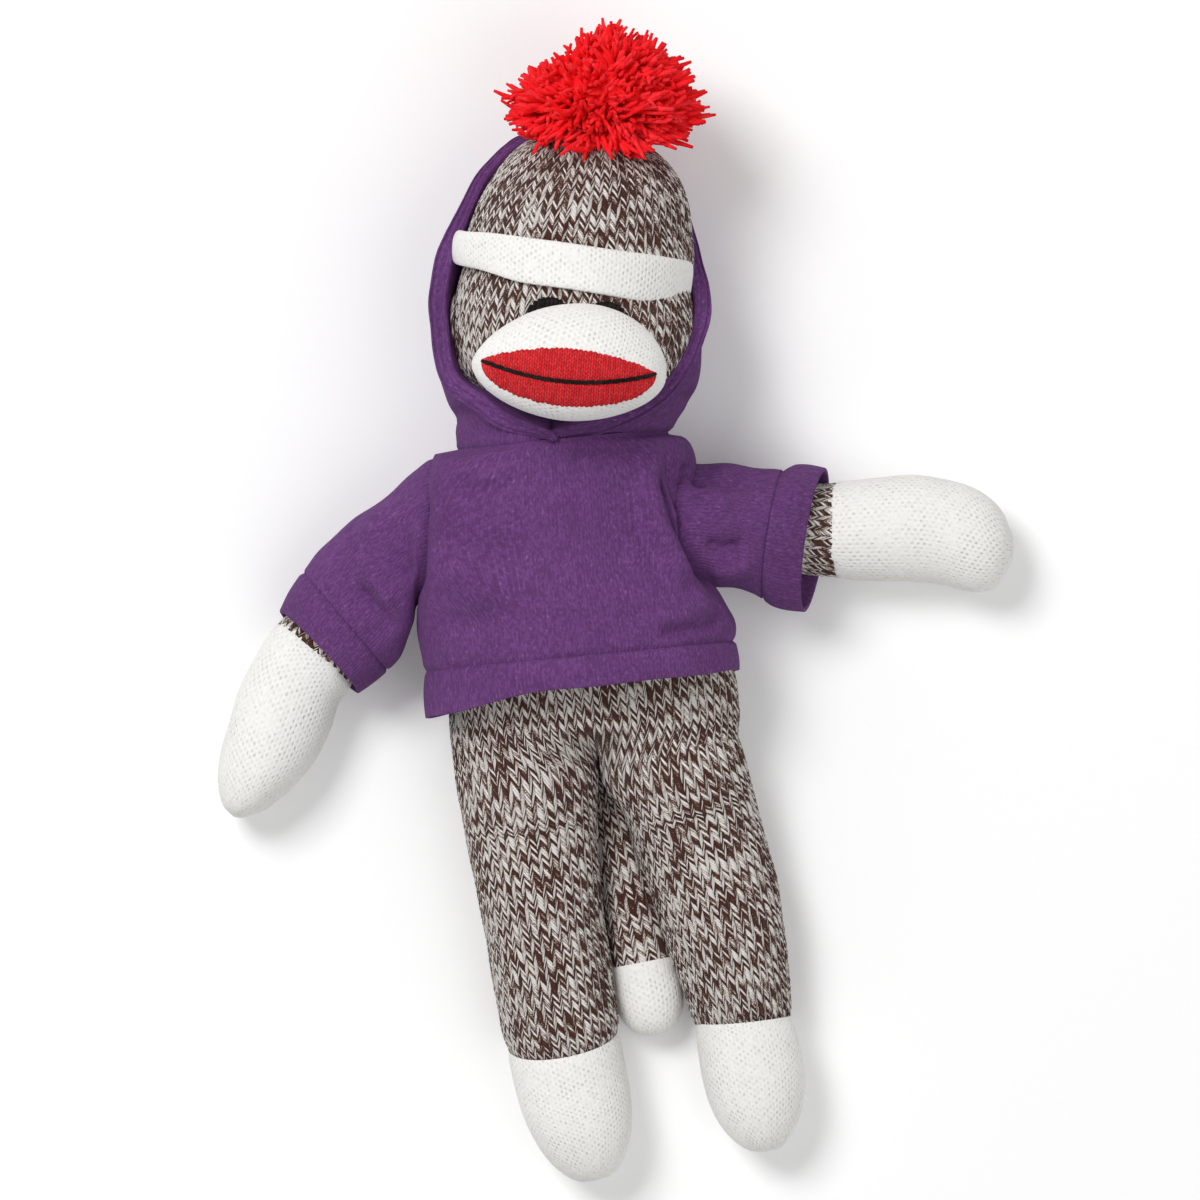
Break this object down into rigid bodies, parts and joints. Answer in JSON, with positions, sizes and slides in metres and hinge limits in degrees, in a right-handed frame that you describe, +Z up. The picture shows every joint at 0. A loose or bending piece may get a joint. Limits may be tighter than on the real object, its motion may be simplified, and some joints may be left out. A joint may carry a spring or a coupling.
{
  "type": "plush monkey",
  "caption": "Stuffed knitted monkey in a hooded sweatshirt and bobble cap, lying on its back with limbs that move",
  "frame": {"origin": "on the surface that the toy lies on, under the middle of its chest, on the sweatshirt's flattened back", "axes": "+Z up, out of the toy's front; +Y from its feet towards its head; +X to its own left"},
  "size_m": [0.2509, 0.3468, 0.0962],
  "materials": {
    "marl_knit": "brown and white marled stockinette",
    "white_knit": "fine white stockinette",
    "sweatshirt": "purple brushed jersey",
    "red_knit": "red stockinette",
    "red_yarn": "cut red yarn",
    "black_yarn": "black yarn",
    "stuffing": "polyester fibre fill"
  },
  "bodies": {
    "torso": {"torso_skin": "marl_knit", "torso_fill": "stuffing", "hoodie_body": "sweatshirt", "hoodie_hem": "sweatshirt"},
    "head": {"head_skin": "marl_knit", "head_fill": "stuffing", "neck_thread": "white_knit", "muzzle_skin": "white_knit", "muzzle_fill": "stuffing", "lips": "red_knit", "mouth_stitch": "black_yarn", "eye_left": "black_yarn", "eye_right": "black_yarn", "ear_left": "marl_knit", "ear_right": "marl_knit", "cap_brim": "white_knit", "cap_crown": "marl_knit", "pom_pom_knot": "red_yarn", "hood": "sweatshirt", "hood_hem": "sweatshirt"},
    "pom_pom": {"pom_pom": "red_yarn"},
    "arm_left": {"arm_skin_left": "marl_knit", "arm_fill_left": "stuffing", "paw_left": "white_knit", "sleeve_left": "sweatshirt", "cuff_left": "sweatshirt"},
    "arm_right": {"arm_skin_right": "marl_knit", "arm_fill_right": "stuffing", "paw_right": "white_knit", "sleeve_right": "sweatshirt", "cuff_right": "sweatshirt"},
    "leg_left": {"leg_skin_left": "marl_knit", "leg_fill_left": "stuffing", "foot_left": "white_knit"},
    "leg_right": {"leg_skin_right": "marl_knit", "leg_fill_right": "stuffing", "foot_right": "white_knit"},
    "tail": {"tail_skin": "marl_knit", "tail_fill": "stuffing", "tail_tip": "white_knit"}
  },
  "joints": [
    {"name": "head_turn", "type": "hinge", "parent": "torso", "child": "head", "pos_m": [-0.0015, 0.036, 0.0315], "axis": [0.1736, 0.9848, 0], "range_deg": [-40, 40], "stiffness_Nm_per_rad": 0.03},
    {"name": "arm_left_raise", "type": "hinge", "parent": "torso", "child": "arm_left", "pos_m": [0.0405, 0.012, 0.03], "axis": [0, 0, 1], "range_deg": [-38, 50]},
    {"name": "arm_right_raise", "type": "hinge", "parent": "torso", "child": "arm_right", "pos_m": [-0.0455, 0.012, 0.03], "axis": [0, 0, -1], "range_deg": [-15, 80]},
    {"name": "leg_left_flex", "type": "hinge", "parent": "torso", "child": "leg_left", "pos_m": [0.0225, -0.06, 0.0198], "axis": [-1, 0, 0], "range_deg": [0, 80]},
    {"name": "leg_right_flex", "type": "hinge", "parent": "torso", "child": "leg_right", "pos_m": [-0.0225, -0.06, 0.0198], "axis": [-1, 0, 0], "range_deg": [0, 80]},
    {"name": "tail_swing", "type": "hinge", "parent": "torso", "child": "tail", "pos_m": [0, -0.056, 0.0074], "axis": [1, 0, 0], "range_deg": [0, 80]},
    {"name": "pom_pom_flop", "type": "hinge", "parent": "head", "child": "pom_pom", "pos_m": [0.01484, 0.12867, 0.0393], "axis": [0, 0, 1], "range_deg": [-18, 18]}
  ]
}
